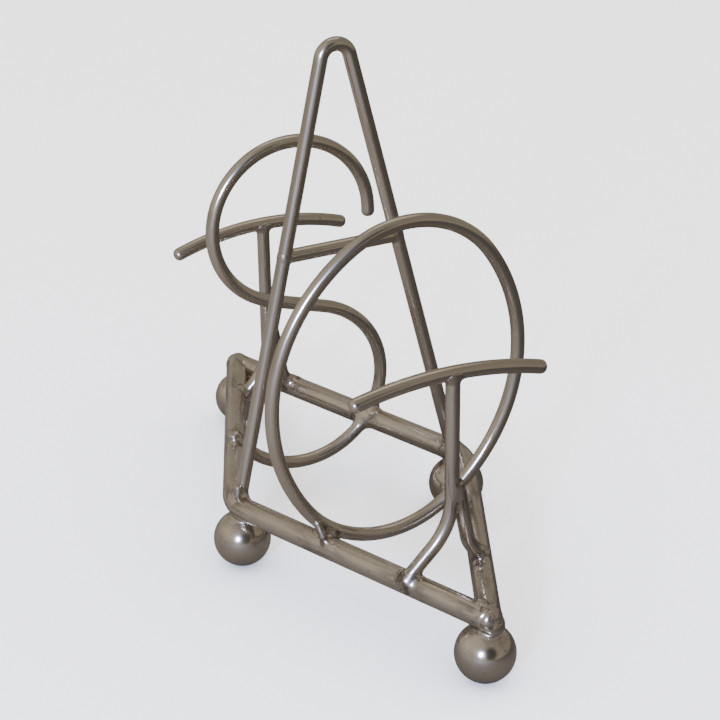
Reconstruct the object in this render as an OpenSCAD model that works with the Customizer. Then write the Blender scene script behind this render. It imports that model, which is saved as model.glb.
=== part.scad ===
// Wire rack for slices: five bent wire dividers welded across a diamond
// shaped base rod that stands on four ball feet.
// Frame: Z up, ground at z = 0, origin under the middle of the base.
// The long diagonal of the base runs along Y, the dividers stand along X.

/* [Base] */
// half of the short diagonal of the base, to the crossing of the rod axes
half_width = 35.1; // [33:0.1:37]
// half of the long diagonal of the base, to the crossing of the rod axes
half_length = 81.7; // [80:0.1:84]
// diameter of the base rod
rod_d = 6.4; // [6:0.1:7]
// radius of the bends at the left and right corners
corner_r = 14; // [12:1:18]
// how far the right corner is set towards the front, as bent by hand
skew = 4; // [0:0.5:4.5]
// diameter of the ball feet
ball_d = 16; // [15:0.5:20]
// depth the base rod sits into the top of the ball feet
ball_sink = 0.2; // [0.1:0.1:1]
// distance of the end ball feet inside the end corners
ball_inset = 2.1; // [1:0.1:3]

/* [Dividers] */
// diameter of the divider wire
wire_d = 3.8; // [3.5:0.1:4.2]
// spacing of the dividers
pitch = 29.5; // [28.5:0.1:30]

/* [End dividers] */
// height of the middle of the front bar
front_z = 77.5; // [65:0.5:95]
// height of the middle of the back bar
back_z = 74.5; // [65:0.5:95]
// half of the length of the end bars, to the centre of the rounded tips
bar_half = 25.8; // [18:0.1:32]
// radius of the arched front bar
front_bar_r = 102; // [60:1:200]
// radius of the arched back bar
back_bar_r = 81; // [60:1:200]
// sideways slope of the end bars, in degrees
bar_tilt = 1.4; // [0:0.1:3]
// bend radius of the flared leg under each end stem
leg_r = 19; // [18:0.5:20]
// angle the flared leg is bent through
leg_turn = 46; // [44:1:48]
// sideways offset of the end stems
stem_shift = 1.3; // [0.8:0.1:1.8]

/* [Ring divider] */
// height of the middle of the ring above the base rod axis
ring_up = 42.9; // [42.6:0.1:43]
// radius of the top and bottom of the ring
ring_r = 29.1; // [28:0.1:30]
// radius of the two sides of the ring
ring_side_r = 50.9; // [50:0.1:54]
// half of the distance between the top and bottom arc centres
ring_half = 15.7; // [15:0.1:16.5]
// sideways lean of the ring, in degrees
ring_lean = 11; // [8:0.5:12]

/* [Peak divider] */
// height of the top of the peak wire axis
peak_z = 145.7; // [130:0.1:160]
// bend radius at the top of the peak wire
peak_r = 4.2; // [4:0.1:8]
// distance of each leg from the middle at the base rod axis
peak_foot = 33.5; // [33:0.1:34]
// sideways offset of the top of the peak wire
peak_shift = -1.5; // [-2:0.1:2]
// height of the cross bar
cross_z = 89.8; // [60:0.1:110]

/* [Curl divider] */
// radius of the upper loop of the curl
high_r = 23.8; // [23:0.1:24.5]
// radius of the lower loop of the curl
low_r = 24.9; // [24.5:0.1:25.4]
// height of the centre of the upper loop
high_z = 86.3; // [84:0.1:90]
// height of the centre of the lower loop
low_z = 34.6; // [34:0.1:35.5]
// angle of the free end of the upper loop from its right side
high_end = -2; // [-20:1:20]
// angle of the free end of the lower loop past its lowest point
low_end = 62; // [60:1:66]

/* [Output] */
// which piece to draw

/* [Hidden] */
$fn = 72;

rod_z = ball_d + rod_d / 2 - ball_sink;
foot_y = half_length - ball_inset;
// crossings of the base rod axes
front_end = [0, -half_length];
back_end = [0, half_length];
left_end = [-half_width, 0];
right_end = [half_width, -skew];
// every run of wire stops this far short of the knuckle that joins it
gap = 0.1;
// a knuckle is this much thicker than the wire
swell = 0.05;
steel = [0.62, 0.59, 0.54];
plate = [0.68, 0.65, 0.60];

// straight wire in the XZ plane between two points
module run(p, q, d = wire_d) {
    len = norm(q - p) - 2 * gap;
    translate([p[0], 0, p[1]])
        rotate([0, atan2(q[0] - p[0], q[1] - p[1]), 0])
            translate([0, 0, gap])
                cylinder(h = len, d = d);
}

// bent wire in the XZ plane, angles counted from +X towards +Z
module bend(c, r, a0, a1, d = wire_d) {
    trim = gap / r * 180 / PI;
    translate([c[0], 0, c[1]])
        rotate([90, 0, 0])
            rotate([0, 0, a0 + trim])
                rotate_extrude(angle = a1 - a0 - 2 * trim)
                    translate([r, 0])
                        circle(d = d);
}

// rounded knuckle where two lengths of wire meet, also a rounded free end
module knuckle(p, d = wire_d) {
    translate([p[0], 0, p[1]])
        sphere(d = d + swell);
}

// point on an arc in the XZ plane
function on_arc(c, r, a) = [c[0] + r * cos(a), c[1] + r * sin(a)];

// unit vector in plan
function unit(v) = v / norm(v);

// straight rod in the XY plane between two points
module rod(p, q) {
    translate([p[0], p[1], 0])
        rotate([0, 0, atan2(q[1] - p[1], q[0] - p[0])])
            rotate([0, 90, 0])
                translate([0, 0, gap])
                    cylinder(h = norm(q - p) - 2 * gap, d = rod_d);
}

// rounded knuckle where two lengths of rod meet
module rod_knuckle(p) {
    translate([p[0], p[1], 0])
        rotate([90, 0, 45])
            sphere(d = rod_d + swell);
}

// the two rods and the bend between the end corners by way of one side
module side(corner) {
    u = unit(front_end - corner);
    v = unit(back_end - corner);
    half = acos(u * v) / 2;
    c = corner + unit(u + v) * corner_r / sin(half);
    cut = corner_r / tan(half);
    p = corner + u * cut;
    q = corner + v * cut;
    mid = atan2(corner[1] - c[1], corner[0] - c[0]);
    turn = 90 - half - gap / corner_r * 180 / PI;
    rod(front_end, p);
    rod(back_end, q);
    rod_knuckle(p);
    rod_knuckle(q);
    translate([c[0], c[1], 0])
        rotate([0, 0, mid - turn])
            rotate_extrude(angle = 2 * turn)
                translate([corner_r, 0])
                    circle(d = rod_d);
}

module frame_rod() {
    translate([0, 0, rod_z]) {
        side(left_end);
        side(right_end);
        rod_knuckle(front_end);
        rod_knuckle(back_end);
    }
}

module frame() {
    color(plate) frame_rod();
}

module foot(x, y) {
    color(plate)
        difference() {
            translate([x, y, ball_d / 2])
                sphere(d = ball_d);
            frame_rod();
        }
}

module foot_front() {
    foot(0, -foot_y);
}

module foot_back() {
    foot(0, foot_y);
}

module foot_left() {
    foot(-(half_width - 2.1), 0);
}

module foot_right() {
    foot(half_width - 0.5, -0.3);
}

// each divider is drawn in the XZ plane and moved to its place along Y
module place(n) {
    translate([0, n * pitch, 0])
        children();
}

// arched bar of an end divider, tilted about its middle
module bar_wire(z, r, tilt) {
    sweep = asin(bar_half / r);
    c = [0, -r];
    translate([0.5, 0, z])
        rotate([0, tilt, 0]) {
            bend(c, r, 90 - sweep, 90 + sweep);
            for (s = [-1, 1])
                knuckle(on_arc(c, r, 90 + s * sweep));
        }
}

// stem that runs down from the bar and flares out into one leg
// the top is kept below the bar axis so the bar alone shows at the joint
module stem_wire(x, z, top, tail) {
    a = -leg_turn;
    c = [x - leg_r, top];
    foot_at = on_arc(c, leg_r, a);
    run([x, top], [x, z - 0.9]);
    knuckle([x, top]);
    bend(c, leg_r, a, 0);
    knuckle(foot_at);
    run(foot_at, foot_at + tail * [sin(a), -cos(a)]);
    knuckle(foot_at + tail * [sin(a), -cos(a)]);
}

// second leg, welded to the side of the stem and flared the other way
module leg_wire(x, top) {
    a = 190.3;
    b = 236;
    c = [x + 5.9 - 1.5 - 9 * cos(a), top - 12.2 - 9 * sin(a)];
    p = on_arc(c, 9, a);
    q = p + 14 * [sin(a), -cos(a)];
    run(q, p);
    knuckle(q);
    knuckle(p);
    bend(c, 9, a, b);
    knuckle(on_arc(c, 9, b));
}

front_top = 42;
front_tail = 8.5;
back_top = 35.6;
back_tail = 3;

module front_bar_wire() {
    place(-2) bar_wire(front_z, front_bar_r, bar_tilt);
}

module front_stem_wire() {
    place(-2) stem_wire(stem_shift, front_z, front_top, front_tail);
}

module back_bar_wire() {
    place(2) bar_wire(back_z, back_bar_r, -bar_tilt / 2);
}

module back_stem_wire() {
    place(2) stem_wire(stem_shift, back_z, back_top, back_tail);
}

module front_bar() {
    color(steel) front_bar_wire();
}

module front_stem() {
    color(steel)
        difference() {
            front_stem_wire();
            front_bar_wire();
            frame_rod();
        }
}

module front_leg() {
    color(steel)
        difference() {
            place(-2) leg_wire(stem_shift, front_top);
            front_stem_wire();
            frame_rod();
        }
}

module back_bar() {
    color(steel) back_bar_wire();
}

module back_stem() {
    color(steel)
        difference() {
            back_stem_wire();
            back_bar_wire();
            frame_rod();
        }
}

module back_leg() {
    color(steel)
        difference() {
            place(2) leg_wire(stem_shift, back_top + 2);
            back_stem_wire();
            frame_rod();
        }
}

// tall ring made of four arcs
ring_off = sqrt(pow(ring_side_r - ring_r, 2) - pow(ring_half, 2));
ring_turn = atan(ring_half / ring_off);
ring_z = rod_z + ring_up;

module ring_wire() {
    high = [0, ring_half];
    low = [0, -ring_half];
    translate([1, 0, ring_z])
        rotate([0, ring_lean, 0]) {
            bend(high, ring_r, ring_turn, 180 - ring_turn);
            bend(low, ring_r, 180 + ring_turn, 360 - ring_turn);
            bend([ring_off, 0], ring_side_r, 180 - ring_turn, 180 + ring_turn);
            bend([-ring_off, 0], ring_side_r, -ring_turn, ring_turn);
            knuckle(on_arc(high, ring_r, ring_turn));
            knuckle(on_arc(high, ring_r, 180 - ring_turn));
            knuckle(on_arc(low, ring_r, 180 + ring_turn));
            knuckle(on_arc(low, ring_r, -ring_turn));
        }
}

module ring() {
    color(steel)
        difference() {
            place(-1) ring_wire();
            frame_rod();
        }
}

// bent wire with a narrow rounded top; the lean of each leg is found so
// that it meets the top bend without a kink
peak_h = peak_z - rod_z - peak_r;
peak_c = [peak_shift, peak_z - peak_r];
function lean(d) = atan(d / peak_h) - asin(peak_r / norm([peak_h, d]));
lean_r = lean(peak_foot - peak_shift);
lean_l = lean(peak_foot + peak_shift);
top_r = on_arc(peak_c, peak_r, lean_r);
top_l = on_arc(peak_c, peak_r, 180 - lean_l);

module peak_wire() {
    bend(peak_c, peak_r, lean_r, 180 - lean_l);
    knuckle(top_r);
    knuckle(top_l);
    run(top_r, [peak_foot, rod_z]);
    run(top_l, [-peak_foot, rod_z]);
}

module peak() {
    color(steel)
        difference() {
            peak_wire();
            frame_rod();
        }
}

cross_r = top_r[0] + (top_r[1] - cross_z) * tan(lean_r);
cross_l = top_l[0] - (top_l[1] - cross_z) * tan(lean_l);

module peak_bar() {
    color(steel)
        difference() {
            run([cross_l + 0.8, cross_z], [cross_r - 0.8, cross_z]);
            peak_wire();
        }
}

// two open loops joined by a short straight length
low_c = [0.1, low_z];
high_c = [-2.3, high_z];
mid = high_c - low_c;
// angle of the straight length's normal, for a line that crosses between
// the two loops
mid_turn = atan2(mid[1], mid[0]) - acos((high_r + low_r) / norm(mid));

module curl_wire() {
    p = on_arc(high_c, high_r, mid_turn + 180);
    q = on_arc(low_c, low_r, mid_turn);
    low_stop = -90 - low_end;
    bend(high_c, high_r, high_end, mid_turn + 180);
    bend(low_c, low_r, low_stop, mid_turn);
    run(p, q);
    knuckle(p);
    knuckle(q);
    knuckle(on_arc(high_c, high_r, high_end));
    knuckle(on_arc(low_c, low_r, low_stop));
}

module curl() {
    color(steel)
        difference() {
            place(1) curl_wire();
            frame_rod();
        }
}

frame();
foot_front();
foot_back();
foot_left();
foot_right();
front_bar();
front_stem();
front_leg();
ring();
peak();
peak_bar();
curl();
back_bar();
back_stem();
back_leg();
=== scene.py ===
"""Visual model of a plated wire slice rack: swept wires, brazed joints and ball feet.

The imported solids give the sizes. Every wire is swept along its own centreline by one
Geometry Nodes group, and every brazed joint is a bead grown between two wires by another.
"""
import logging
import math
from dataclasses import dataclass, field
from enum import Enum
from functools import partial
from typing import Sequence

import bpy
import numpy as np
from mathutils import Matrix, Vector


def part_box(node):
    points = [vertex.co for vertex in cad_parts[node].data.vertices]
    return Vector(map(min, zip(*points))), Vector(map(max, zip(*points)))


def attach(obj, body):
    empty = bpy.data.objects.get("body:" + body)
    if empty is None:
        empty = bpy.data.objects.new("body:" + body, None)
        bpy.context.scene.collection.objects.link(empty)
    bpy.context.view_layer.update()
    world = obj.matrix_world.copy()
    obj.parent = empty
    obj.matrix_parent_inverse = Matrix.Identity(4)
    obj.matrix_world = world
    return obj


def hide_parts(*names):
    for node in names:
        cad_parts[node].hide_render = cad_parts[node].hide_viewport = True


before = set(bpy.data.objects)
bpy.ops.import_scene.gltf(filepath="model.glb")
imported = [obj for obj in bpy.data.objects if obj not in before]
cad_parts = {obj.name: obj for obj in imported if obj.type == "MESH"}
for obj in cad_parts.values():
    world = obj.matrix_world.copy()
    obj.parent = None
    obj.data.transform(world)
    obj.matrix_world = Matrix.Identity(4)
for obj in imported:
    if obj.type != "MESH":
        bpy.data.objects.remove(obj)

logging.basicConfig(level=logging.INFO, format="%(levelname)s %(message)s")
log = logging.getLogger("rack")
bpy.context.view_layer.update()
MM = 0.001
Points = np.ndarray
Socket, Tree, Object = bpy.types.NodeSocket, bpy.types.NodeTree, bpy.types.Object
# The balls at the frame's corners stand this far out of the rods.
CORNER_PROUD = 0.025 * MM
# Points of a run that are nearer than this, in millimetres, count as one.
SAME_POINT = 1e-4


# ---------- sizes


def span(node: str, axis: int) -> tuple[float, float]:
    """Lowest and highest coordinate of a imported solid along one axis, in metres."""
    low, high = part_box(node)
    return float(low[axis]), float(high[axis])


def middle(node: str, axis: int) -> float:
    """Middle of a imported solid's extent along one axis, in metres."""
    low, high = span(node, axis)
    return (low + high) / 2


@dataclass(frozen=True)
class Sizes:
    """Shared sizes of the rack, in metres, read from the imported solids."""

    wire_r: float
    rod_r: float
    ball_r: float
    rod_z: float
    ring_y: float
    peak_y: float
    curl_y: float
    front_y: float
    back_y: float

    @staticmethod
    def read() -> "Sizes":
        """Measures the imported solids.

        Returns:
            The sizes every sub-assembly is built from.
        """
        low, high = span("peak_bar", 2)
        rod_low, rod_high = span("frame", 2)
        return Sizes(
            wire_r=(high - low) / 2,
            rod_r=(rod_high - rod_low) / 2 - CORNER_PROUD,
            ball_r=(span("foot_left", 0)[1] - span("foot_left", 0)[0]) / 2,
            rod_z=(rod_low + rod_high) / 2,
            ring_y=middle("ring", 1),
            peak_y=middle("peak", 1),
            curl_y=middle("curl", 1),
            front_y=middle("front_bar", 1),
            back_y=middle("back_bar", 1),
        )


SIZES = Sizes.read()


# ---------- curves


def arc(centre: Sequence[float], radius: float, start: float, stop: float, step: float = 0.8) -> Points:
    """Points on an arc in a plane.

    Args:
        centre: centre of the arc, in millimetres.
        radius: radius in millimetres.
        start: first angle in degrees, from the first axis towards the second.
        stop: last angle in degrees.
        step: largest spacing of the points, in millimetres.

    Returns:
        An array of two columns.
    """
    count = max(4, int(abs(math.radians(stop - start)) * radius / step) + 1)
    turn = np.radians(np.linspace(start, stop, count))
    return np.c_[centre[0] + radius * np.cos(turn), centre[1] + radius * np.sin(turn)]


def line(start: Sequence[float], stop: Sequence[float], step: float = 1.5) -> Points:
    """Evenly spaced points on a straight run.

    Args:
        start: first point, in millimetres.
        stop: last point.
        step: largest spacing of the points.

    Returns:
        An array of two columns.
    """
    a, b = np.array(start, float), np.array(stop, float)
    count = max(3, int(np.linalg.norm(b - a) / step) + 1)
    return a + (b - a) * np.linspace(0, 1, count)[:, None]


def chain(*parts: Points) -> Points:
    """Joins runs end to end and drops doubled points.

    Args:
        parts: arrays of points.

    Returns:
        One array.
    """
    all_points = np.vstack(parts)
    keep = np.r_[True, np.linalg.norm(np.diff(all_points, axis=0), axis=1) > SAME_POINT]
    return all_points[keep]


def turned(points: Points, degrees: float) -> Points:
    """Turns plane points about the origin, by an angle from the first axis to the second."""
    c, s = math.cos(math.radians(degrees)), math.sin(math.radians(degrees))
    return points @ np.array([[c, s], [-s, c]])


def upright(points: Points, y: float) -> Points:
    """Stands points of X and Z in millimetres up at a place along the rack in metres."""
    return np.c_[points[:, 0] * MM, np.full(len(points), y), points[:, 1] * MM]


# ---------- node trees


class Group:
    """Small helper that builds one node tree with typed, named sockets."""

    def __init__(self, name: str, kind: str) -> None:
        """Starts an empty tree.

        Args:
            name: name of the group.
            kind: Blender's tree type.
        """
        self.tree = bpy.data.node_groups.new(name, kind)
        self.entry = self.tree.nodes.new("NodeGroupInput")
        self.exit = self.tree.nodes.new("NodeGroupOutput")

    def takes(self, name: str, kind: str, default: object = None) -> Socket:
        """Adds a named input.

        Args:
            name: the socket's name.
            kind: the socket type.
            default: its default value.

        Returns:
            The matching socket on the input node.
        """
        item = self.tree.interface.new_socket(name=name, in_out="INPUT", socket_type=f"NodeSocket{kind}")
        if default is not None:
            item.default_value = default
        return self.entry.outputs[name]

    def gives(self, name: str, kind: str, source: Socket) -> None:
        """Adds a named output that a socket feeds."""
        self.tree.interface.new_socket(name=name, in_out="OUTPUT", socket_type=f"NodeSocket{kind}")
        self.tree.links.new(source, self.exit.inputs[name])

    def node(self, kind: str, settings: dict | None = None, **inputs: object) -> bpy.types.Node:
        """Adds a node to the tree, as place does."""
        return place(self.tree, kind, settings, **inputs)

    def close(self, mesh: Socket, material: Socket) -> Tree:
        """Smooths a mesh, makes it real, gives it its material and puts it out.

        Args:
            mesh: the finished mesh.
            material: its material.

        Returns:
            The node tree.
        """
        smooth = self.node("GeometryNodeSetShadeSmooth", i0=mesh).outputs[0]
        real = self.node("GeometryNodeRealizeInstances", i0=smooth).outputs[0]
        done = self.node("GeometryNodeSetMaterial", Geometry=real, Material=material).outputs[0]
        self.gives("Mesh", "Geometry", done)
        return self.tree


def place(tree: Tree, kind: str, settings: dict | None = None, **inputs: object) -> bpy.types.Node:
    """Adds a node to a tree.

    Args:
        tree: the node tree.
        kind: Blender's node type.
        settings: attributes of the node.
        inputs: values or sockets by input name with spaces as _, or by number as i0, i1.

    Returns:
        The new node.
    """
    made = tree.nodes.new(kind)
    for key, value in (settings or {}).items():
        setattr(made, key, value)
    for key, value in inputs.items():
        numbered = key[0] == "i" and key[1:].isdigit()
        socket = made.inputs[int(key[1:])] if numbered else made.inputs[key.replace("_", " ")]
        if isinstance(value, Socket):
            tree.links.new(value, socket)
        else:
            socket.default_value = value
    return made


def maths(tree: Tree, operation: str, *values: object) -> Socket:
    """Adds a maths node on sockets or numbers and gives its output."""
    inputs = {f"i{k}": v for k, v in enumerate(values)}
    return place(tree, "ShaderNodeMath", {"operation": operation}, **inputs).outputs[0]


def smooth_step(
    tree: Tree, value: Socket, low: float, high: float, ends: tuple[float, float] = (0.0, 1.0)
) -> Socket:
    """Maps a value by a smooth step from low to high, which give the two ends."""
    inputs = {"i0": value, "i1": low, "i2": high, "i3": ends[0], "i4": ends[1]}
    return place(tree, "ShaderNodeMapRange", {"interpolation_type": "SMOOTHSTEP"}, **inputs).outputs[0]


def mix(tree: Tree, factor: Socket, first: object, second: object) -> Socket:
    """Adds a mix of two colours or sockets: the first where the factor is 0."""
    return place(tree, "ShaderNodeMix", {"data_type": "RGBA"}, i0=factor, i6=first, i7=second).outputs[2]


def sweep_group() -> Tree:
    """Geometry Nodes group that sweeps a round section along a path.

    Returns:
        The node tree, with inputs for the path, the number of sides and the material.
    """
    g = Group("swept_wire", "GeometryNodeTree")
    path = g.takes("Path", "Geometry")
    sides = g.takes("Sides", "Int", 40)
    material = g.takes("Material", "Material")

    number = {"data_type": "FLOAT", "domain": "POINT"}

    def stored(curve: Socket, name: str, value: Socket) -> Socket:
        """Keeps a value on the points of a curve."""
        inputs = {"Geometry": curve, "Name": name, "Value": value}
        return g.node("GeometryNodeStoreNamedAttribute", number, **inputs).outputs[0]

    radius = g.node("GeometryNodeInputNamedAttribute", {"data_type": "FLOAT"}, Name="rad").outputs[0]
    curve = g.node("GeometryNodeMeshToCurve", i0=path).outputs[0]
    spot = g.node("GeometryNodeSplineParameter").outputs
    section = g.node("GeometryNodeCurvePrimitiveCircle", {"mode": "RADIUS"}, Resolution=sides, Radius=1.0)
    skin = g.node(
        "GeometryNodeCurveToMesh",
        Curve=stored(curve, "along", spot["Length"]),
        Profile_Curve=stored(section.outputs[0], "around", spot["Factor"]),
        Scale=radius,
        Fill_Caps=True,
    )
    return g.close(skin.outputs[0], material)


# How far the bead sinks under the members' skins away from the joint, in millimetres.
BEAD_SINK = 0.035
# Room round the bead in its volume, in millimetres.
BEAD_MARGIN = 0.6
# Value of the volume at the bead's skin; it has to stay above 0 everywhere in the box.
BEAD_LEVEL = 10.0
BEAD_LUMP_SCALE = 420.0


def bead_group() -> Tree:
    """Geometry Nodes group that grows a brazed bead between two members.

    The distance to each member's centreline gives two solids; their smooth minimum is the
    bead. Away from the joint the bead sinks just below the members' skins.

    Returns:
        The node tree.
    """
    g = Group("brazed_bead", "GeometryNodeTree")
    calc = partial(maths, g.tree)
    g.takes("Geometry", "Geometry")
    first = g.takes("First Path", "Object")
    second = g.takes("Second Path", "Object")
    r1 = g.takes("First Radius", "Float", 2.0)
    r2 = g.takes("Second Radius", "Float", 2.0)
    centre = g.takes("Centre", "Vector")
    reach = g.takes("Reach", "Float", 5.0)
    blend = g.takes("Blend", "Float", 3.0)
    lumps = g.takes("Lumps", "Float", 0.3)
    seed = g.takes("Seed", "Float", 0.0)
    cells = g.takes("Cells", "Int", 48)
    material = g.takes("Material", "Material")
    here = g.node("GeometryNodeInputPosition").outputs[0]

    def depth(source: Socket, radius: Socket) -> Socket:
        """Distance from a member's skin in millimetres, below 0 inside it."""
        shape = g.node("GeometryNodeObjectInfo", {"transform_space": "ORIGINAL"}, Object=source).outputs
        near = g.node("GeometryNodeProximity", {"target_element": "EDGES"}, i0=shape["Geometry"]).outputs
        return calc("SUBTRACT", calc("MULTIPLY", near["Distance"], 1 / MM), radius)

    a, b = depth(first, r1), depth(second, r2)
    merged = calc("SMOOTH_MIN", a, b, blend)
    fill = calc("SUBTRACT", calc("MINIMUM", a, b), merged)
    grain = {"Vector": here, "W": seed, "Scale": BEAD_LUMP_SCALE, "Detail": 2.0}
    noise = g.node("ShaderNodeTexNoise", {"noise_dimensions": "4D"}, **grain).outputs[0]
    bumps = calc("MULTIPLY", calc("SUBTRACT", noise, 0.5), calc("MULTIPLY", fill, lumps))
    body = calc("ADD", calc("SUBTRACT", merged, bumps), BEAD_SINK)
    away = g.node("ShaderNodeVectorMath", {"operation": "DISTANCE"}, i0=here, i1=centre).outputs["Value"]
    clip = calc("SUBTRACT", calc("MULTIPLY", away, 1 / MM), reach)
    inside = calc("SUBTRACT", BEAD_LEVEL, calc("MAXIMUM", body, clip))
    half = calc("MULTIPLY", calc("ADD", reach, BEAD_MARGIN), MM)
    box = g.node("ShaderNodeCombineXYZ", X=half, Y=half, Z=half).outputs[0]
    low = g.node("ShaderNodeVectorMath", {"operation": "SUBTRACT"}, i0=centre, i1=box).outputs[0]
    high = g.node("ShaderNodeVectorMath", {"operation": "ADD"}, i0=centre, i1=box).outputs[0]
    counts = {f"Resolution_{axis}": cells for axis in "XYZ"}
    cube = g.node("GeometryNodeVolumeCube", Density=inside, Background=0.0, Min=low, Max=high, **counts)
    mesh = g.node("GeometryNodeVolumeToMesh", i0=cube.outputs[0], Threshold=BEAD_LEVEL)
    return g.close(mesh.outputs[0], material)


def socket_id(tree: Tree, name: str) -> str:
    """Identifier of a group's named input.

    Args:
        tree: the group.
        name: the input's name.

    Returns:
        The identifier a modifier stores its value under.
    """
    for item in tree.interface.items_tree:
        if item.item_type == "SOCKET" and item.in_out == "INPUT" and item.name == name:
            return item.identifier
    raise KeyError(name)


def bake(name: str, source: Object, tree: Tree, values: dict[str, object]) -> Object:
    """Runs a Geometry Nodes group on an object and keeps the result as a plain mesh.

    Args:
        name: name of the new object.
        source: the object that carries the group while it runs.
        tree: the group.
        values: inputs by name.

    Returns:
        A new object with a plain mesh and no modifier.
    """
    modifier = source.modifiers.new("build", "NODES")
    modifier.node_group = tree
    for key, value in values.items():
        modifier[socket_id(tree, key)] = value
    source.update_tag()
    graph = bpy.context.evaluated_depsgraph_get()
    graph.update()
    result = source.evaluated_get(graph)
    mesh = bpy.data.meshes.new_from_object(result, preserve_all_data_layers=True, depsgraph=graph)
    source.modifiers.remove(modifier)
    mesh.name = name
    return add_object(name, mesh)


def add_object(name: str, data: bpy.types.ID | None) -> Object:
    """Adds an object with its mesh, lamp or camera to the scene."""
    made = bpy.data.objects.new(name, data)
    bpy.context.scene.collection.objects.link(made)
    return made


# ---------- finishes


class Slot(Enum):
    """Material slots of the record."""

    WIRE = "plated_wire"
    ROD = "plated_rod"
    BALL = "plated_ball"


@dataclass(frozen=True)
class Finish:
    """One nickel-plated finish: its colours and how strong each effect is."""

    name: str
    base: tuple[float, float, float]
    warm: tuple[float, float, float]
    roughness: float
    lines: float
    mottle: float
    tarnish: float
    pits: float
    mottle_rough: float = 0.10
    tarnish_rough: float = 0.22
    pit_rough: float = 0.25
    mottle_height: float = 0.12
    pit_depth: float = 0.3
    bump: float = 0.5
    bump_distance: float = 0.05 * MM


FINISHES = {
    Slot.WIRE: Finish(
        name="nickel_wire", base=(0.65, 0.58, 0.46), warm=(0.53, 0.46, 0.355), roughness=0.21,
        lines=0.20, mottle=0.40, tarnish=0.85, pits=0.25,
    ),
    Slot.ROD: Finish(
        name="nickel_rod", base=(0.67, 0.60, 0.485), warm=(0.52, 0.45, 0.355), roughness=0.23,
        lines=0.14, mottle=0.45, tarnish=0.70, pits=0.3,
    ),
    Slot.BALL: Finish(
        name="nickel_ball", base=(0.70, 0.63, 0.51), warm=(0.58, 0.51, 0.41), roughness=0.14,
        lines=0.0, mottle=0.50, tarnish=0.45, pits=0.3,
    ),
}
BEAD_FINISH = Finish(
    name="nickel_bead", base=(0.67, 0.60, 0.49), warm=(0.45, 0.38, 0.29), roughness=0.20,
    lines=0.0, mottle=0.60, tarnish=0.90, pits=0.6,
)
TARNISH = (0.085, 0.055, 0.035, 1.0)
PIT = (0.06, 0.045, 0.035, 1.0)
# Wire coordinates: radius of the ring that "around" is wound on, and the stretch of "along".
STREAK_RING = 0.0065
STREAK_STRETCH = 0.38
LINE_STRETCH = 9.0


def wound(g: Group, ring: float, stretch: float) -> Socket:
    """Coordinates that follow a wire, wound on a ring and stretched along its length.

    Args:
        g: the group, which gets an "Along" and an "Around" input.
        ring: radius of the ring.
        stretch: factor on the length.

    Returns:
        A vector.
    """
    calc = partial(maths, g.tree)
    along = g.takes("Along", "Float")
    turn = calc("MULTIPLY", g.takes("Around", "Float"), 2 * math.pi)
    return g.node(
        "ShaderNodeCombineXYZ",
        X=calc("MULTIPLY", calc("COSINE", turn), ring),
        Y=calc("MULTIPLY", calc("SINE", turn), ring),
        Z=calc("MULTIPLY", along, stretch),
    ).outputs[0]


def lines_group() -> Tree:
    """Fine lines along a drawn wire.

    Returns:
        A shader group that gives a height.
    """
    g = Group("drawn_lines", "ShaderNodeTree")
    where = wound(g, 1.0, LINE_STRETCH)
    scale = g.takes("Scale", "Float", 9.0)
    noise = g.node("ShaderNodeTexNoise", Vector=where, Scale=scale, Detail=3.0, Roughness=0.6).outputs[0]
    g.gives("Height", "Float", noise)
    return g.tree


def along_group() -> Tree:
    """Wire coordinates that turn a pattern into streaks.

    Returns:
        A shader group that gives a vector.
    """
    g = Group("wire_coordinates", "ShaderNodeTree")
    g.gives("Vector", "Vector", wound(g, STREAK_RING, STREAK_STRETCH))
    return g.tree


def mottle_group() -> Tree:
    """Cloudy variation of the plating.

    Returns:
        A shader group that gives a mask and a height.
    """
    g = Group("plate_mottle", "ShaderNodeTree")
    calc = partial(maths, g.tree)
    where = g.takes("Position", "Vector")
    amount = g.takes("Amount", "Float", 0.5)
    coarse = g.node("ShaderNodeTexNoise", Vector=where, Scale=70.0, Detail=4.0, Roughness=0.55).outputs[0]
    shaped = smooth_step(g.tree, coarse, low=0.38, high=0.68)
    g.gives("Mask", "Float", calc("MULTIPLY", shaped, amount))
    skin = g.node("ShaderNodeTexNoise", Vector=where, Scale=900.0, Detail=2.0).outputs[0]
    g.gives("Height", "Float", skin)
    return g.tree


def pits_group() -> Tree:
    """Scattered pinholes and specks in the plating, thicker near joints.

    Returns:
        A shader group that gives a mask.
    """
    g = Group("plate_pits", "ShaderNodeTree")
    calc = partial(maths, g.tree)
    where = g.takes("Position", "Vector")
    near = g.takes("Near", "Float")
    amount = g.takes("Amount", "Float", 0.5)
    cells = g.node("ShaderNodeTexVoronoi", Vector=where, Scale=520.0, Randomness=1.0)
    dot = smooth_step(g.tree, cells.outputs["Distance"], low=0.30, high=0.12)
    pick = g.node("ShaderNodeSeparateColor", Color=cells.outputs["Color"]).outputs[0]
    limit = calc("SUBTRACT", 0.93, calc("MULTIPLY", near, 0.4))
    chosen = calc("GREATER_THAN", pick, limit)
    g.gives("Mask", "Float", calc("MULTIPLY", calc("MULTIPLY", dot, chosen), amount))
    return g.tree


def tarnish_group() -> Tree:
    """Brown staining that gathers round the brazed joints.

    Returns:
        A shader group that gives a mask.
    """
    g = Group("joint_tarnish", "ShaderNodeTree")
    calc = partial(maths, g.tree)
    where = g.takes("Position", "Vector")
    near = g.takes("Near", "Float")
    amount = g.takes("Amount", "Float", 0.7)
    noise = g.node("ShaderNodeTexNoise", Vector=where, Scale=290.0, Detail=4.0, Roughness=0.6).outputs[0]
    patch = smooth_step(g.tree, noise, low=0.47, high=0.66)
    g.gives("Mask", "Float", calc("MULTIPLY", calc("MULTIPLY", patch, near), amount))
    return g.tree


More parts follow.
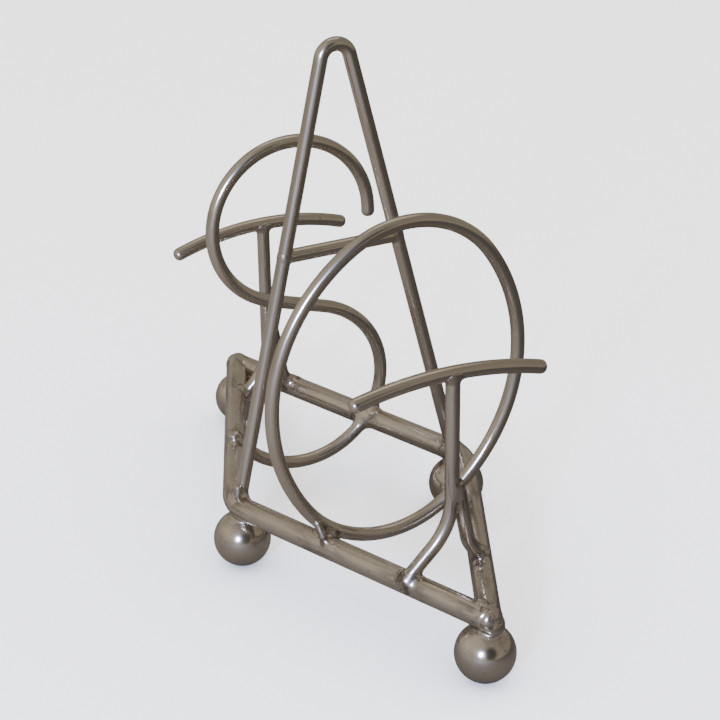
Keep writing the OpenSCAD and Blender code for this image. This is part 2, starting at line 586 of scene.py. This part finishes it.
class Plating:
    """Builds the nickel materials from shared effect groups."""

    def __init__(self) -> None:
        """Makes the shared groups."""
        self.lines = lines_group()
        self.mottle = mottle_group()
        self.pits = pits_group()
        self.tarnish = tarnish_group()
        self.along = along_group()

    def material(self, finish: Finish) -> bpy.types.Material:
        """Makes one finish.

        Args:
            finish: the finish's values.

        Returns:
            The material.
        """
        made = bpy.data.materials.new(finish.name)
        made.use_nodes = True
        tree = made.node_tree
        tree.nodes.clear()
        calc = partial(maths, tree)

        def effect(group: Tree, **inputs: object) -> bpy.types.Node:
            """Places one of the shared groups."""
            return place(tree, "ShaderNodeGroup", {"node_tree": group}, **inputs)

        def attribute(name: str) -> Socket:
            """Reads a value kept on the mesh."""
            return place(tree, "ShaderNodeAttribute", {"attribute_name": name}).outputs["Fac"]

        where = place(tree, "ShaderNodeTexCoord").outputs["Object"]
        near = attribute("near")
        mottle = effect(self.mottle, Position=where, Amount=finish.mottle)
        pits = effect(self.pits, Position=where, Near=near, Amount=finish.pits).outputs["Mask"]
        streak = where
        drawn = finish.lines > 0
        if drawn:
            course = {"Along": attribute("along"), "Around": attribute("around")}
            streak = effect(self.along, **course).outputs[0]
        stain = effect(self.tarnish, Position=streak, Near=near, Amount=finish.tarnish).outputs["Mask"]
        plain = mix(tree, mottle.outputs["Mask"], (*finish.base, 1.0), (*finish.warm, 1.0))
        colour = mix(tree, pits, mix(tree, stain, plain, TARNISH), PIT)
        rough = calc("ADD", finish.roughness, calc("MULTIPLY", mottle.outputs["Mask"], finish.mottle_rough))
        rough = calc("ADD", rough, calc("MULTIPLY", stain, finish.tarnish_rough))
        rough = calc("ADD", rough, calc("MULTIPLY", pits, finish.pit_rough))
        height = calc("MULTIPLY", mottle.outputs["Height"], finish.mottle_height)
        if drawn:
            fine = effect(self.lines, **course).outputs["Height"]
            height = calc("ADD", height, calc("MULTIPLY", fine, finish.lines))
        height = calc("SUBTRACT", height, calc("MULTIPLY", pits, finish.pit_depth))
        strength = {"Strength": finish.bump, "Distance": finish.bump_distance}
        bump = place(tree, "ShaderNodeBump", Height=height, **strength).outputs[0]
        skin = {"Base_Color": colour, "Metallic": 1.0, "Roughness": rough, "Normal": bump}
        shader = place(tree, "ShaderNodeBsdfPrincipled", **skin)
        place(tree, "ShaderNodeOutputMaterial", Surface=shader.outputs[0])
        return made


# ---------- wires and beads


# Angles of the rings that round off a wire's end, and the power that makes the end fuller.
TIP_ANGLES = np.radians(np.array([12, 26, 40, 53, 65, 75, 82, 86.5]))
TIP_POWER = 0.9
# Sides of a swept wire or rod.
SIDES = {Slot.WIRE: 40, Slot.ROD: 56}
# How far from its rough place a joint is looked for, and how finely its members are divided.
SEARCH = 14 * MM
FRACTIONS = np.linspace(0, 1, 5)[None, :, None]
CELLS_PER_MM = 9
# How far the brown stains reach from a joint.
STAIN_REACH = 9 * MM


class Bench:
    """What every piece is made with, and the finished pieces."""

    def __init__(self) -> None:
        """Builds the materials and the geometry groups."""
        plating = Plating()
        self.finish = {slot: plating.material(finish) for slot, finish in FINISHES.items()}
        self.bead_finish = plating.material(BEAD_FINISH)
        self.sweep, self.bead = sweep_group(), bead_group()
        self.pieces: list[Object] = []

    def keep(self, piece: Object, slot: Slot, solids: Sequence[str] = ()) -> None:
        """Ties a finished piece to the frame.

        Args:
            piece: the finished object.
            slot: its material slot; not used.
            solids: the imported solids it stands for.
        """
        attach(piece, "root")
        if solids:
            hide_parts(*solids)
        self.pieces.append(piece)
        piece.data.calc_loop_triangles()
        log.info("%s: %d triangles", piece.name, len(piece.data.loop_triangles))


@dataclass
class Wire:
    """One swept wire or rod: its centreline, its radius and the solid it stands for."""

    name: str
    points: Points
    radius: float
    solid: str
    slot: Slot = Slot.WIRE
    closed: bool = False
    tips: tuple[bool, bool] = (False, False)
    dome: float = 0.92
    path: Object = field(init=False)

    def __post_init__(self) -> None:
        """Makes the helper object that carries the centreline as points and edges."""
        points, radii = self.shaped()
        edges = [(i, i + 1) for i in range(len(points) - 1)]
        if self.closed:
            edges.append((len(points) - 1, 0))
        mesh = bpy.data.meshes.new(f"path_{self.name}")
        mesh.from_pydata([tuple(p) for p in points], edges, [])
        mesh.attributes.new("rad", "FLOAT", "POINT").data.foreach_set("value", radii.astype(np.float32))
        self.path = add_object(f"path_{self.name}", mesh)

    def shaped(self) -> tuple[Points, np.ndarray]:
        """Adds rounded ends to the centreline.

        Returns:
            The points and the radius at each.
        """
        points, radii = self.points, np.full(len(self.points), self.radius)
        reach = self.dome * self.radius * np.sin(TIP_ANGLES) ** TIP_POWER
        shrink = self.radius * np.cos(TIP_ANGLES) ** TIP_POWER
        for rounded in self.tips:
            points, radii = points[::-1], radii[::-1]
            if rounded:
                out = points[-1] - points[-2]
                out = out / np.linalg.norm(out)
                points = np.vstack([points, points[-1] + out * reach[:, None]])
                radii = np.r_[radii, shrink]
        return points, radii

    def fine(self) -> Points:
        """Gives the centreline with more points between its own."""
        first, second = self.points[:-1][:, None], self.points[1:][:, None]
        return (first * (1 - FRACTIONS) + second * FRACTIONS).reshape(-1, 3)


@dataclass(frozen=True)
class Braze:
    """The weld metal at one kind of joint: lengths in millimetres, lumps and stain from 0 to 1."""

    reach: float
    blend: float
    lumps: float = 0.5
    stain: float = 1.0
    fixed: bool = False


class Joint(Enum):
    """The kinds of brazed joint."""

    BAR = Braze(reach=3.4, blend=2.4, lumps=0.2, stain=0.25, fixed=True)
    FLARE = Braze(reach=5.5, blend=3.2)
    SIDE = Braze(reach=5.5, blend=1.8, lumps=0.25)
    LOOP = Braze(reach=5.5, blend=3.6, lumps=0.8)
    PEAK = Braze(reach=5.5, blend=3.4)
    CROSS = Braze(reach=3.2, blend=0.9, lumps=0.15, stain=0.25)
    CORNER = Braze(reach=4.6, blend=1.4, lumps=0.15, fixed=True)
    FOOT = Braze(reach=5.4, blend=3.2, lumps=0.3, fixed=True)
    RUN = Braze(reach=3.2, blend=1.6, lumps=0.35, stain=0.6, fixed=True)


@dataclass
class Bead:
    """One brazed joint between two members, at a rough place."""

    name: str
    first: Wire
    second: Wire
    near: Points
    joint: Joint
    centre: Points = field(init=False)

    def __post_init__(self) -> None:
        """Puts the bead where the two centrelines come closest, unless its place is fixed."""
        if self.joint.value.fixed:
            self.centre = self.near
            return
        a, b = self.first.fine(), self.second.fine()
        a = a[np.linalg.norm(a - self.near, axis=1) < SEARCH]
        b = b[np.linalg.norm(b - self.near, axis=1) < SEARCH]
        gap = np.linalg.norm(a[:, None] - b[None], axis=2)
        i, j = np.unravel_index(int(gap.argmin()), gap.shape)
        share = self.first.radius / (self.first.radius + self.second.radius)
        self.centre = a[i] * (1 - share) + b[j] * share

    def build(self, bench: Bench, holder: Object, number: int) -> None:
        """Grows the bead.

        Args:
            bench: what the pieces are made with.
            holder: the object that carries the group while it runs.
            number: seed of its lumps.
        """
        braze = self.joint.value
        values = {
            "First Path": self.first.path,
            "Second Path": self.second.path,
            "First Radius": self.first.radius / MM,
            "Second Radius": self.second.radius / MM,
            "Centre": tuple(float(v) for v in self.centre),
            "Reach": braze.reach,
            "Blend": braze.blend,
            "Lumps": braze.lumps,
            "Seed": float(number),
            "Cells": int(braze.reach * CELLS_PER_MM),
            "Material": bench.bead_finish,
        }
        bench.keep(bake(self.name, holder, bench.bead, values), Slot.WIRE)


# ---------- sub-assemblies


@dataclass
class Assembly:
    """A named group of wires."""

    title = "assembly"
    wires: dict[str, Wire] = field(default_factory=dict, init=False)

    def add(self, name: str, points: Points, solid: str, **more: object) -> Wire:
        """Makes and keeps a wire.

        Args:
            name: name of the piece.
            points: its centreline.
            solid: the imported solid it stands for.
            more: its other fields, where they aren't those of a plain wire.

        Returns:
            The wire.
        """
        wire = Wire(name, points, more.pop("radius", SIZES.wire_r), solid, **more)
        self.wires[name] = wire
        return wire

    def build(self, bench: Bench) -> None:
        """Sweeps and dresses every wire.

        Args:
            bench: what the pieces are made with.
        """
        log.info("building the %s", self.title)
        for wire in self.wires.values():
            values = {"Sides": SIDES[wire.slot], "Material": bench.finish[wire.slot]}
            bench.keep(bake(wire.name, wire.path, bench.sweep, values), wire.slot, [wire.solid])


@dataclass
class BaseFrame(Assembly):
    """The diamond of rod that everything stands on, as the rods of its two sides."""

    title = "base frame"
    half_width: float = 35.1
    half_length: float = 81.7
    skew: float = 4.0
    bend: float = 14.0
    dome: float = 0.7
    left: Wire = field(init=False)
    right: Wire = field(init=False)

    def __post_init__(self) -> None:
        """Makes both sides."""
        ends = (np.array([0.0, -self.half_length]), np.array([0.0, self.half_length]))
        self.left = self.side("rod_left", np.array([-self.half_width, 0.0]), ends)
        self.right = self.side("rod_right", np.array([self.half_width, -self.skew]), ends)

    def side(self, name: str, corner: Points, ends: tuple[Points, Points]) -> Wire:
        """Makes the rods and the bend of one side.

        Args:
            name: name of the piece.
            corner: where the rods' axes cross, in millimetres.
            ends: the front and back corners.

        Returns:
            The wire.
        """
        u, v = ((e - corner) / np.linalg.norm(e - corner) for e in ends)
        half = math.acos(float(u @ v)) / 2
        centre = corner + (u + v) / np.linalg.norm(u + v) * self.bend / math.sin(half)
        cut = self.bend / math.tan(half)
        out = math.degrees(math.atan2(*(corner - centre)[::-1]))
        turn = 90 - math.degrees(half)
        sign = 1 if corner[0] > 0 else -1
        plan = chain(
            line(ends[0], corner + u * cut),
            arc(centre, self.bend, out - sign * turn, out + sign * turn),
            line(corner + v * cut, ends[1]),
        )
        points = np.c_[plan * MM, np.full(len(plan), SIZES.rod_z)]
        shape = {"radius": SIZES.rod_r, "slot": Slot.ROD, "tips": (True, True), "dome": self.dome}
        return self.add(name, points, "frame", **shape)


@dataclass
class RingDivider(Assembly):
    """The closed oval, made of four arcs and leaning a little."""

    title = "ring divider"
    end_r: float = 29.1
    side_r: float = 50.9
    half: float = 15.7
    lean: float = 11.0
    shift: float = 1.0
    rise: float = 42.9
    ring: Wire = field(init=False)

    def __post_init__(self) -> None:
        """Makes the ring."""
        off = math.sqrt((self.side_r - self.end_r) ** 2 - self.half**2)
        turn = math.degrees(math.atan2(self.half, off))
        flat = chain(
            arc((0, -self.half), self.end_r, 270, 360 - turn),
            arc((-off, 0), self.side_r, -turn, turn),
            arc((0, self.half), self.end_r, turn, 180 - turn),
            arc((off, 0), self.side_r, 180 - turn, 180 + turn),
            arc((0, -self.half), self.end_r, 180 + turn, 270),
        )[:-1]
        flat = turned(flat, -self.lean) + [self.shift, SIZES.rod_z / MM + self.rise]
        self.ring = self.add("ring_wire", upright(flat, SIZES.ring_y), "ring", closed=True)


@dataclass
class PeakDivider(Assembly):
    """The tall bent wire with its cross bar."""

    title = "peak divider"
    top: float = 145.7
    bend: float = 4.2
    foot: float = 33.5
    shift: float = -1.5
    cross: float = 89.8
    bent: Wire = field(init=False)
    bar: Wire = field(init=False)

    def lean(self, distance: float) -> float:
        """Angle of a leg from upright, in degrees, from how far its foot stands out."""
        rise = self.top - SIZES.rod_z / MM - self.bend
        return math.degrees(math.atan2(distance, rise) - math.asin(self.bend / math.hypot(rise, distance)))

    def __post_init__(self) -> None:
        """Makes the bent wire and the bar."""
        ground = SIZES.rod_z / MM
        right, left = self.lean(self.foot - self.shift), self.lean(self.foot + self.shift)
        top = arc((self.shift, self.top - self.bend), self.bend, right, 180 - left, 0.5)
        outline = chain(line((self.foot, ground), top[0]), top, line(top[-1], (-self.foot, ground)))
        self.bent = self.add("peak_wire", upright(outline, SIZES.peak_y), "peak")
        start = top[-1][0] - (top[-1][1] - self.cross) * math.tan(math.radians(left))
        stop = top[0][0] + (top[0][1] - self.cross) * math.tan(math.radians(right))
        bar = line((start, self.cross), (stop, self.cross))
        self.bar = self.add("peak_bar_wire", upright(bar, SIZES.peak_y), "peak_bar")


@dataclass
class CurlDivider(Assembly):
    """The divider of two open loops."""

    title = "curl divider"
    high: tuple[float, float] = (-2.3, 86.3)
    high_r: float = 23.8
    high_end: float = -2.0
    low: tuple[float, float] = (0.1, 34.6)
    low_r: float = 24.9
    low_end: float = 62.0
    wire: Wire = field(init=False)

    def __post_init__(self) -> None:
        """Makes the wire."""
        step = np.array(self.high) - np.array(self.low)
        gap = float(np.linalg.norm(step))
        turn = math.degrees(math.atan2(step[1], step[0]) - math.acos((self.high_r + self.low_r) / gap))
        high = arc(self.high, self.high_r, self.high_end, turn + 180)
        low = arc(self.low, self.low_r, turn, -90 - self.low_end)
        outline = chain(high, line(high[-1], low[0]), low)
        self.wire = self.add("curl_wire", upright(outline, SIZES.curl_y), "curl", tips=(True, True))


@dataclass
class EndDivider(Assembly):
    """An arched bar on a stem that flares, and a second flared leg beside the stem.

    The first eight fields are what differs between the front and the back.
    """

    title = "end divider"
    side: str
    y: float
    height: float
    bar_r: float
    tilt: float
    top: float
    leg_top: float
    tail: float
    bar_half: float = 25.8
    bar_shift: float = 0.5
    bar_drop: float = 0.4
    shift: float = 1.3
    flare_r: float = 19.0
    flare: float = 46.0
    leg_shift: float = 4.4
    leg_drop: float = 12.2
    leg_r: float = 9.0
    leg_arc: tuple[float, float] = (190.3, 236.0)
    leg_run: float = 14.0
    bar: Wire = field(init=False)
    stem: Wire = field(init=False)
    leg: Wire = field(init=False)

    def __post_init__(self) -> None:
        """Makes the bar, the stem and the second leg."""
        sweep = math.degrees(math.asin(self.bar_half / self.bar_r))
        flat = turned(arc((0, -self.bar_r), self.bar_r, 90 + sweep, 90 - sweep), -self.tilt)
        self.bar = self.member("bar", flat + [self.bar_shift, self.height], (True, True))
        flare = arc((self.shift - self.flare_r, self.top), self.flare_r, 0, -self.flare)
        a = math.radians(-self.flare)
        foot = flare[-1] + self.tail * np.array([math.sin(a), -math.cos(a)])
        upper = line((self.shift, self.height - self.bar_drop), (self.shift, self.top))
        self.stem = self.member("stem", chain(upper, flare, line(flare[-1], foot)), (False, True))
        b = math.radians(self.leg_arc[0])
        centre = (
            self.shift + self.leg_shift - self.leg_r * math.cos(b),
            self.leg_top - self.leg_drop - self.leg_r * math.sin(b),
        )
        curve = arc(centre, self.leg_r, *self.leg_arc, 0.6)
        start = curve[0] + self.leg_run * np.array([math.sin(b), -math.cos(b)])
        self.leg = self.member("leg", chain(line(start, curve[0]), curve), (True, True))

    def member(self, part: str, flat: Points, tips: tuple[bool, bool]) -> Wire:
        """Adds the bar, stem or leg from its centreline in millimetres."""
        name = f"{self.side}_{part}"
        return self.add(f"{name}_wire", upright(flat, self.y), name, tips=tips)


@dataclass
class BallFoot:
    """A turned ball with a small worn flat underneath."""

    solid: str
    rings: int = 72
    sides: int = 96
    flat: float = 0.06 * MM
    centre: Points = field(init=False)
    member: Wire = field(init=False)

    def __post_init__(self) -> None:
        """Reads the ball's place from its solid, and makes the core that its bead joins."""
        low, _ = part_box(self.solid)
        x, y = middle(self.solid, 0), middle(self.solid, 1)
        self.centre = np.array([x, y, float(low[2]) + SIZES.ball_r])
        core = np.array([self.centre, self.centre + [0, 0, 1e-6]])
        self.member = Wire(self.solid + "_core", core, SIZES.ball_r, self.solid, Slot.BALL)

    def build(self, bench: Bench) -> None:
        """Turns the ball's profile and dresses it.

        Args:
            bench: what the pieces are made with.
        """
        sides, rows = self.sides, self.rings - 2
        angle = np.linspace(-math.pi / 2, math.pi / 2, self.rings)
        radius, height = SIZES.ball_r * np.cos(angle), SIZES.ball_r * np.sin(angle)
        height = np.maximum(height, -SIZES.ball_r + self.flat)
        turn = np.linspace(0, 2 * math.pi, sides, endpoint=False)
        grid = np.stack(
            [
                radius[1:-1, None] * np.cos(turn),
                radius[1:-1, None] * np.sin(turn),
                np.repeat(height[1:-1, None], sides, 1),
            ],
            axis=2,
        ).reshape(-1, 3)
        points = np.vstack([grid, [[0, 0, height[0]], [0, 0, height[-1]]]]) + self.centre
        faces: list[tuple[int, ...]] = []
        for i in range(rows - 1):
            for j in range(sides):
                k = (j + 1) % sides
                faces.append((i * sides + j, i * sides + k, (i + 1) * sides + k, (i + 1) * sides + j))
        low, high = rows * sides, rows * sides + 1
        for j in range(sides):
            k = (j + 1) % sides
            faces.append((low, k, j))
            faces.append((high, (rows - 1) * sides + j, (rows - 1) * sides + k))
        mesh = bpy.data.meshes.new(self.solid + "_ball")
        mesh.from_pydata([tuple(p) for p in points], [], faces)
        mesh.shade_smooth()
        mesh.materials.append(bench.finish[Slot.BALL])
        bench.keep(add_object(self.solid + "_ball", mesh), Slot.BALL, [self.solid])


# ---------- the rack


class Rack:
    """The whole rack: every sub-assembly and the beads that join them."""

    def __init__(self) -> None:
        """Makes the paths of every sub-assembly."""
        self.bench = Bench()
        self.base = BaseFrame()
        self.ring = RingDivider()
        self.peak = PeakDivider()
        self.curl = CurlDivider()
        front = {"height": 77.5, "bar_r": 102.0, "tilt": 1.4, "top": 42.0, "leg_top": 42.0, "tail": 8.5}
        back = {"height": 74.5, "bar_r": 81.0, "tilt": -0.7, "top": 35.6, "leg_top": 37.6, "tail": 3.0}
        self.front = EndDivider("front", SIZES.front_y, **front)
        self.back = EndDivider("back", SIZES.back_y, **back)
        self.feet = {n: BallFoot(n) for n in ("foot_front", "foot_back", "foot_left", "foot_right")}
        self.runs = self.make_runs()

    def make_runs(self) -> dict[str, tuple[Wire, Wire]]:
        """Places the runs of braze that stand proud beside some joints.

        Returns:
            For each, the short thick run and the member it sits on.
        """
        ring, bent, left, right = self.ring.ring, self.peak.bent, self.base.left, self.base.right
        # Each has its radius, the member it sits on and its centreline, in millimetres.
        table = {
            "run_ring": (1.15, ring, [(-23.6, -31.0, 26.2), (-23.2, -32.0, 24.2), (-22.9, -32.6, 22.8)]),
            "run_ring_low": (0.95, left, [(-22.6, -33.1, 21.9), (-21.9, -33.9, 20.9)]),
            "run_peak": (1.0, bent, [(-34.2, -1.9, 26.0), (-34.8, -2.3, 22.6)]),
            "run_corner": (0.9, left, [(-0.6, -77.6, 21.9), (0.5, -78.6, 22.0)]),
            "run_bridge": (1.5, right, [(17.7, -29.6, 24.7), (19.6, -30.4, 23.0), (21.4, -31.2, 21.4)]),
            "run_leg": (0.9, right, [(8.0, -62.4, 21.3), (7.6, -63.6, 21.2)]),
        }
        return {
            name: (Wire(name, np.array(points) * MM, radius * MM, host.solid), host)
            for name, (radius, host, points) in table.items()
        }

    def beads(self) -> list[Bead]:
        """Lists the brazed joints, in the order that numbers their lumps.

        Returns:
            The beads.
        """
        made: list[Bead] = []

        def add(name: str, first: Wire, second: Wire, spot: tuple[float, float, float], joint: Joint) -> None:
            """Adds a joint near a spot, whose X is in millimetres and whose Y and Z are in metres."""
            near = np.array([spot[0] * MM, spot[1], spot[2]])
            made.append(Bead(f"bead_{name}", first, second, near, joint))

        rods = left, right = self.base.left, self.base.right
        over, loop_over = SIZES.rod_z + 3 * MM, SIZES.rod_z + 4 * MM
        for label, end in (("front", self.front), ("back", self.back)):
            y = end.y
            add(f"{label}_bar", end.bar, end.stem, (end.shift, y, (end.height - 2.2) * MM), Joint.BAR)
            add(f"{label}_foot", end.stem, left, (-10.5, y, over), Joint.FLARE)
            add(f"{label}_leg", end.leg, right, (10.5, y, over), Joint.FLARE)
            add(f"{label}_side", end.leg, end.stem, (2.5, y, (end.leg_top - 1) * MM), Joint.SIDE)
        peak, bar = self.peak.bent, self.peak.bar
        bar_ends = bar.points[0][0] / MM, bar.points[-1][0] / MM
        cross = self.peak.cross * MM
        pairs = (
            ("ring", self.ring.ring, rods, (-22.0, 22.0), SIZES.ring_y, loop_over, Joint.LOOP),
            ("peak", peak, rods, (-33.5, 33.5), SIZES.peak_y, over, Joint.PEAK),
            ("cross", bar, (peak, peak), bar_ends, SIZES.peak_y, cross, Joint.CROSS),
            ("curl", self.curl.wire, rods, (-22.5, 22.5), SIZES.curl_y, loop_over, Joint.LOOP),
        )
        for label, wire, hosts, places, y, z, joint in pairs:
            for side, host, x in zip(("left", "right"), hosts, places, strict=True):
                add(f"{label}_{side}", wire, host, (x, y, z), joint)
        for label, y in (("front", -79 * MM), ("back", 79 * MM)):
            add(f"corner_{label}", left, right, (0.0, y, SIZES.rod_z), Joint.CORNER)
        for name, foot in self.feet.items():
            rod = right if name == "foot_right" else left
            add(name, rod, foot.member, (foot.centre[0] / MM, foot.centre[1], SIZES.ball_r * 2), Joint.FOOT)
        for name, (run, host) in self.runs.items():
            made.append(Bead(f"bead_{name}", run, host, run.points[len(run.points) // 2], Joint.RUN))
        return made

    def build(self) -> None:
        """Makes every piece of the rack."""
        parts = [self.base, self.front, self.ring, self.peak, self.curl, self.back]
        for part in [*parts, *self.feet.values()]:
            part.build(self.bench)
        beads = self.beads()
        holder = add_object("holder", bpy.data.meshes.new("holder"))
        for number, bead in enumerate(beads):
            bead.build(self.bench, holder, number)
        bpy.data.objects.remove(holder)
        self.mark_joints(beads)
        wires = [wire for part in parts for wire in part.wires.values()]
        wires += [foot.member for foot in self.feet.values()]
        wires += [run for run, _ in self.runs.values()]
        for wire in wires:
            mesh = wire.path.data
            bpy.data.objects.remove(wire.path)
            bpy.data.meshes.remove(mesh)

    def mark_joints(self, beads: list[Bead]) -> None:
        """Writes how near each point is to a brazed joint, for the finishes.

        Args:
            beads: the joints.
        """
        centres = np.array([bead.centre for bead in beads])[None].astype(np.float32)
        stains = np.array([bead.joint.value.stain for bead in beads])[None]
        for piece in self.bench.pieces:
            mesh = piece.data
            co = np.empty(len(mesh.vertices) * 3, np.float32)
            mesh.vertices.foreach_get("co", co)
            gap = np.linalg.norm(co.reshape(-1, 1, 3) - centres, axis=2)
            near = (np.exp(-((gap / STAIN_REACH) ** 2)) * stains).max(axis=1).astype(np.float32)
            mesh.attributes.new("near", "FLOAT", "POINT").data.foreach_set("value", near)


# ---------- studio


RACK_MIDDLE = (0, 0, 0.07)


@dataclass(frozen=True)
class Lamp:
    """One rectangular lamp that faces the rack: lengths in metres, power in watts."""

    name: str
    place: tuple[float, float, float]
    size: tuple[float, float]
    power: float
    tint: tuple[float, float, float]

    def hang(self) -> None:
        """Adds the lamp to the scene."""
        data = bpy.data.lights.new(self.name, "AREA")
        data.shape = "RECTANGLE"
        data.size, data.size_y = self.size
        data.energy = self.power
        data.color = self.tint
        made = add_object(self.name, data)
        made.location = self.place
        made.rotation_mode = "QUATERNION"
        aim = Vector(RACK_MIDDLE) - Vector(self.place)
        made.rotation_quaternion = aim.to_track_quat("-Z", "Y")


LAMPS = (
    Lamp("window", (-0.66, -0.72, 0.40), (0.11, 0.16), 17.0, (0.47, 0.56, 1.0)),
    Lamp("key", (-1.1, 0.1, 1.2), (2.2, 1.8), 1.8, (1.0, 0.97, 0.93)),
    Lamp("top", (0.3, 0.5, 1.5), (1.2, 0.8), 1.6, (1.0, 0.98, 0.96)),
)


@dataclass(frozen=True)
class Studio:
    """Floor, light and camera."""

    eye: tuple[float, float, float] = (-0.20664, -0.44066, 0.29464)
    turn: tuple[float, float, float] = (1.9841, -0.4662, 0.2715)
    lens: float = 98.57
    sensor: float = 36.0
    floor_half: float = 4.0
    floor_seen: tuple[float, ...] = (0.95, 0.95, 0.95, 1.0)
    # Painted reflection: dim floor tones that only glossy rays see, lighter at -X and darker at +X.
    floor_mirrored: tuple[tuple[float, ...], ...] = ((0.125, 0.112, 0.10, 1.0), (0.030, 0.025, 0.021, 1.0))
    room: tuple[tuple[float, float], ...] = (
        (0.0, 0.05), (0.46, 0.12), (0.54, 0.42), (0.72, 0.37), (1.0, 0.30)
    )
    room_tint: tuple[float, float, float] = (1.0, 0.93, 0.84)
    doorway: tuple[float, float, float] = (-0.11, -0.905, 0.41)
    surround: float = 3.0

    def floor(self) -> None:
        """Lays a plain pale floor that looks dimmer in the metal's reflections."""
        mesh = bpy.data.meshes.new("floor")
        size = self.floor_half
        corners = [(-size, -size, 0), (size, -size, 0), (size, size, 0), (-size, size, 0)]
        mesh.from_pydata(corners, [], [(0, 1, 2, 3)])
        floor = add_object("floor", mesh)
        material = bpy.data.materials.new("pale_floor")
        material.use_nodes = True
        tree = material.node_tree
        tree.nodes.clear()
        path = place(tree, "ShaderNodeLightPath")
        where = place(tree, "ShaderNodeTexCoord").outputs["Object"]
        across = place(tree, "ShaderNodeSeparateXYZ", Vector=where).outputs["X"]
        # Painted reflection: glossy rays see the floor dim and darkening towards +X, while the camera sees it
        # evenly pale.
        fade = smooth_step(tree, across, low=-0.12, high=0.10)
        mirrored = mix(tree, fade, *self.floor_mirrored)
        shade = mix(tree, path.outputs["Is Glossy Ray"], self.floor_seen, mirrored)
        shader = place(tree, "ShaderNodeBsdfPrincipled", Base_Color=shade, Roughness=0.9)
        place(tree, "ShaderNodeOutputMaterial", Surface=shader.outputs[0])
        mesh.materials.append(material)

    def sky(self) -> None:
        """Sets a white surround for the view and a warm grey room for reflections."""
        world = bpy.data.worlds.new("studio")
        bpy.context.scene.world = world
        world.use_nodes = True
        tree = world.node_tree
        tree.nodes.clear()
        calc = partial(maths, tree)
        where = place(tree, "ShaderNodeTexCoord").outputs["Generated"]
        split = place(tree, "ShaderNodeSeparateXYZ", Vector=where).outputs
        height = place(tree, "ShaderNodeMapRange", i0=split["Z"], i1=-1.0, i2=1.0).outputs[0]
        ramp = place(tree, "ShaderNodeValToRGB", Fac=height)
        bar = ramp.color_ramp
        for k, (at, value) in enumerate(self.room):
            stop = bar.elements[k] if k < 2 else bar.elements.new(at)
            stop.position = at
            stop.color = (*(value * tint for tint in self.room_tint), 1.0)
        dot = place(tree, "ShaderNodeVectorMath", {"operation": "DOT_PRODUCT"}, i0=where, i1=self.doorway)
        dark = smooth_step(tree, dot.outputs["Value"], low=0.87, high=0.975, ends=(1.0, 0.2))
        side = calc("SUBTRACT", 1.0, calc("MULTIPLY", split["X"], 0.3))
        level = calc("MULTIPLY", dark, side)
        path = place(tree, "ShaderNodeLightPath")
        seen = calc("MAXIMUM", path.outputs["Is Camera Ray"], path.outputs["Is Diffuse Ray"])
        room = place(tree, "ShaderNodeBackground", Color=ramp.outputs[0], Strength=level)
        white = place(tree, "ShaderNodeBackground", Color=(1.0, 1.0, 1.0, 1.0), Strength=self.surround)
        mixed = place(tree, "ShaderNodeMixShader", i0=seen, i1=room.outputs[0], i2=white.outputs[0])
        place(tree, "ShaderNodeOutputWorld", Surface=mixed.outputs[0])

    def camera(self) -> None:
        """Sets the camera."""
        turn = Vector(self.turn)
        rows = Matrix.Rotation(turn.length, 3, turn.normalized())
        data = bpy.data.cameras.new("camera")
        data.lens, data.sensor_width = self.lens, self.sensor
        data.clip_start, data.clip_end = 0.01, 20.0
        made = add_object("camera", data)
        axes = Matrix((rows[0], -rows[1], -rows[2])).transposed()
        made.matrix_world = Matrix.Translation(self.eye) @ axes.to_4x4()
        bpy.context.scene.camera = made

    def build(self) -> None:
        """Sets up the whole studio."""
        self.floor()
        self.sky()
        for lamp in LAMPS:
            lamp.hang()
        self.camera()
        log.info("studio ready")


def main() -> None:
    """Builds the rack and the studio."""
    Rack().build()
    Studio().build()
    bpy.context.view_layer.update()


if __name__ == "__main__":
    main()
